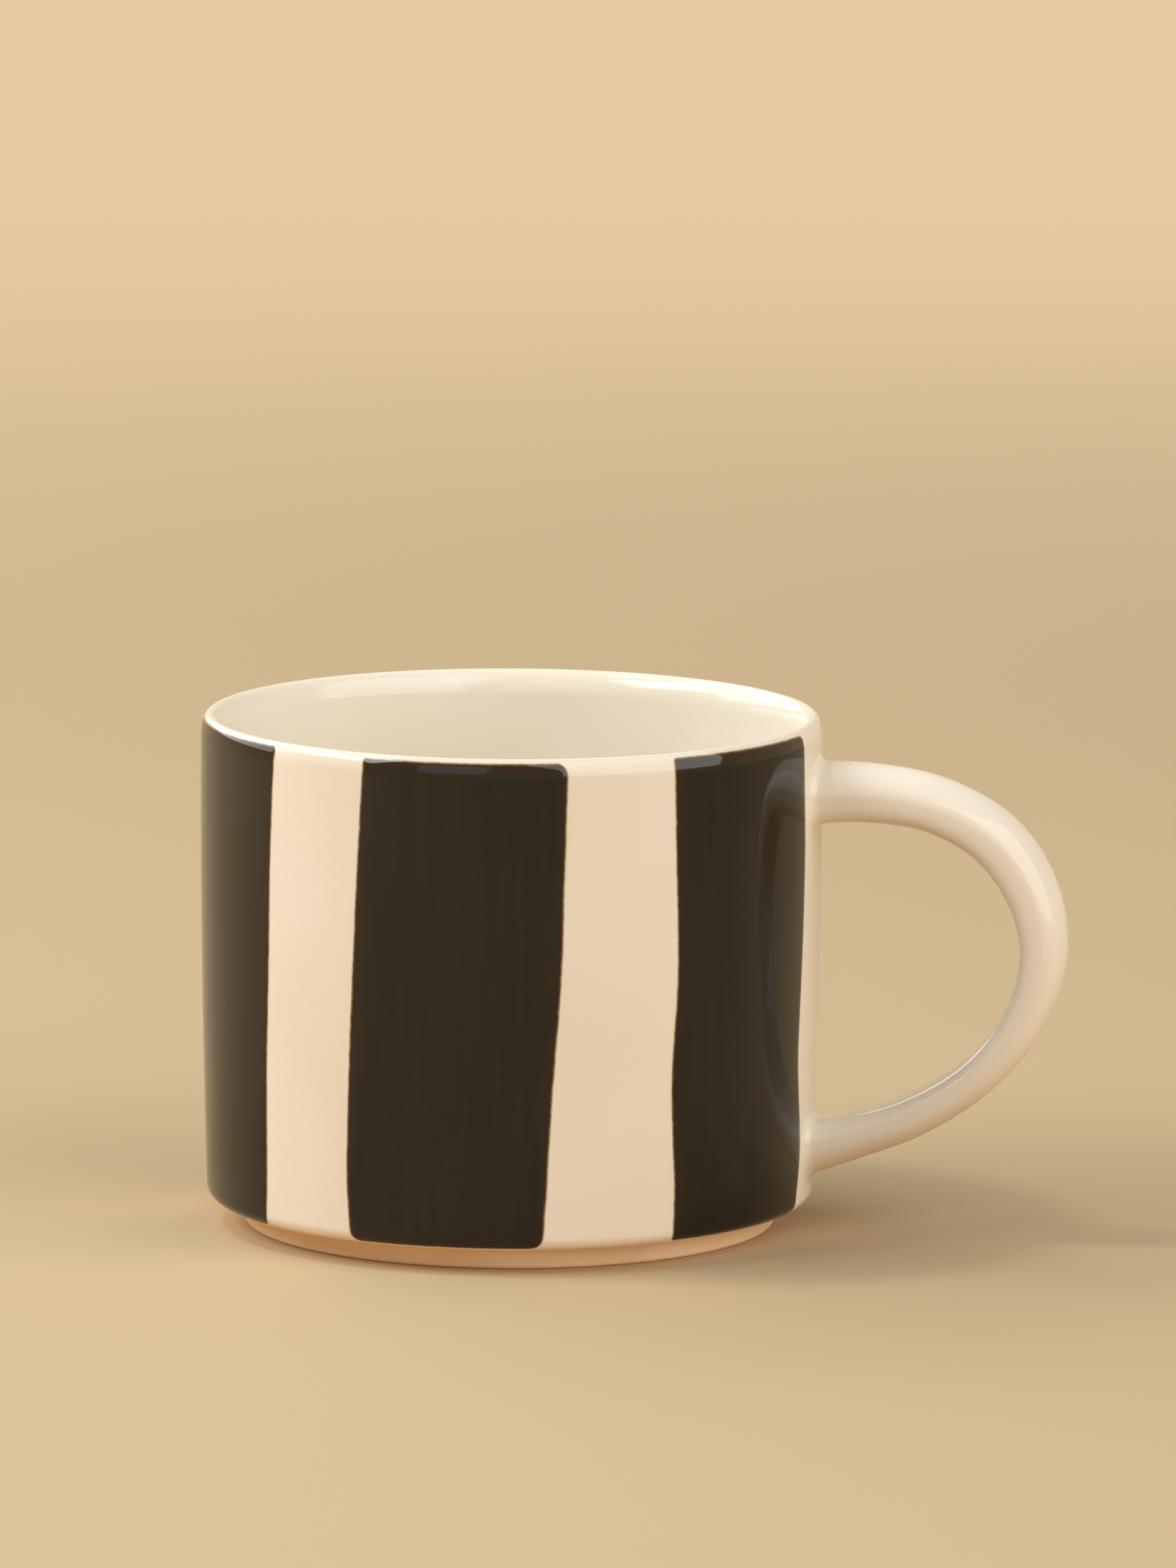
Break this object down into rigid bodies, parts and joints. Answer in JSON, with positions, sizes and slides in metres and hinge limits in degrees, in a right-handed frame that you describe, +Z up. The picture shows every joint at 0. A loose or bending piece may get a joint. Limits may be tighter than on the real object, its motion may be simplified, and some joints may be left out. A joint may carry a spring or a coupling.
{
  "type": "ceramic mug",
  "caption": "Straight-sided glazed ceramic mug with a loop handle, rounded lip, stepped-in foot ring and wide dark painted vertical bands.",
  "frame": {"origin": "middle of the mug's footprint, handle included, on the surface it stands on", "axes": "+Z up along the cup's axis, +X from the cup towards the handle, so the loop of the handle lies in the XZ plane. The cup's own axis is the vertical line at x = -0.0194, y = 0."},
  "size_m": [0.1348, 0.0966, 0.0794],
  "materials": {
    "cream_glaze": "warm cream glaze, soft gloss",
    "bare_clay": "unglazed sandy stoneware, matt",
    "dark_slip": "near-black brushed slip under clear glaze, glossy"
  },
  "bodies": {
    "root": {"cup_body": "cream_glaze", "foot_ring": "bare_clay", "handle": "cream_glaze", "handle_joint_upper": "cream_glaze", "handle_joint_lower": "cream_glaze", "stripe_front_left": "dark_slip", "stripe_front": "dark_slip", "stripe_front_right": "dark_slip", "stripe_back_right": "dark_slip", "stripe_back": "dark_slip", "stripe_back_left": "dark_slip"}
  },
  "joints": []
}
